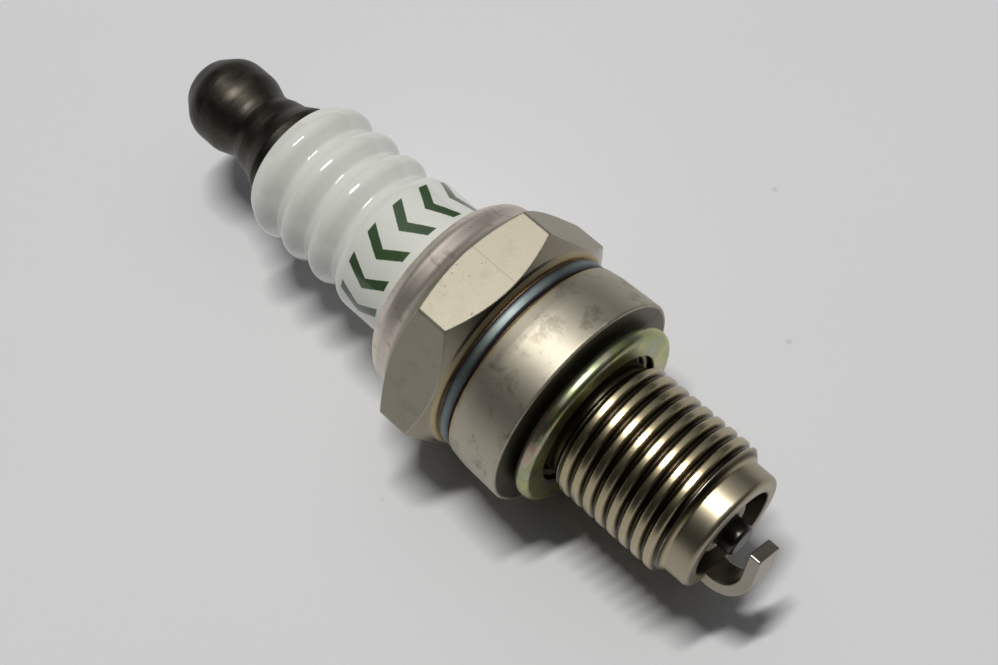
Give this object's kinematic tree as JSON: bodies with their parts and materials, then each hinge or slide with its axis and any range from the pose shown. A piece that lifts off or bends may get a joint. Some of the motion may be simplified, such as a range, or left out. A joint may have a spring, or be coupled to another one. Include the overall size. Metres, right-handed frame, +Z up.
{
  "type": "spark plug",
  "caption": "Short-reach threaded spark plug with a hex metal shell, ribbed ceramic insulator, solid terminal, internal resistor and a captive folded crush gasket that turns freely",
  "frame": {"origin": "on the plug's axis, in the plane of the shell face that the gasket seats against", "axes": "+X runs along the plug's axis towards the firing end; +Z is up, away from the hex flat that the plug lies on; +Y is to the left when looking along +X with +Z up"},
  "size_m": [0.0517, 0.0182, 0.016],
  "materials": {
    "plated_steel": "satin",
    "glazed_alumina": "gloss",
    "dark_steel": "satin",
    "copper_glass": "satin",
    "carbon_glass": "satin",
    "nickel_alloy": "satin",
    "copper": "satin",
    "zinc_steel": "gloss",
    "ring_steel": "satin",
    "talc": "matt"
  },
  "bodies": {
    "plug": {"metal_shell": "plated_steel", "insulator": "glazed_alumina", "terminal_stud": "dark_steel", "upper_glass_seal": "copper_glass", "resistor": "carbon_glass", "lower_glass_seal": "copper_glass", "centre_electrode": "nickel_alloy", "electrode_core": "copper", "ground_electrode": "nickel_alloy", "upper_packing_ring": "ring_steel", "talc_packing": "talc", "lower_packing_ring": "ring_steel", "inner_seat_gasket": "ring_steel"},
    "gasket": {"crush_gasket": "zinc_steel"}
  },
  "joints": [
    {"name": "gasket_spin", "type": "hinge", "parent": "plug", "child": "gasket", "pos_m": [0.001, 0, 0], "axis": [1, 0, 0], "continuous": true}
  ]
}
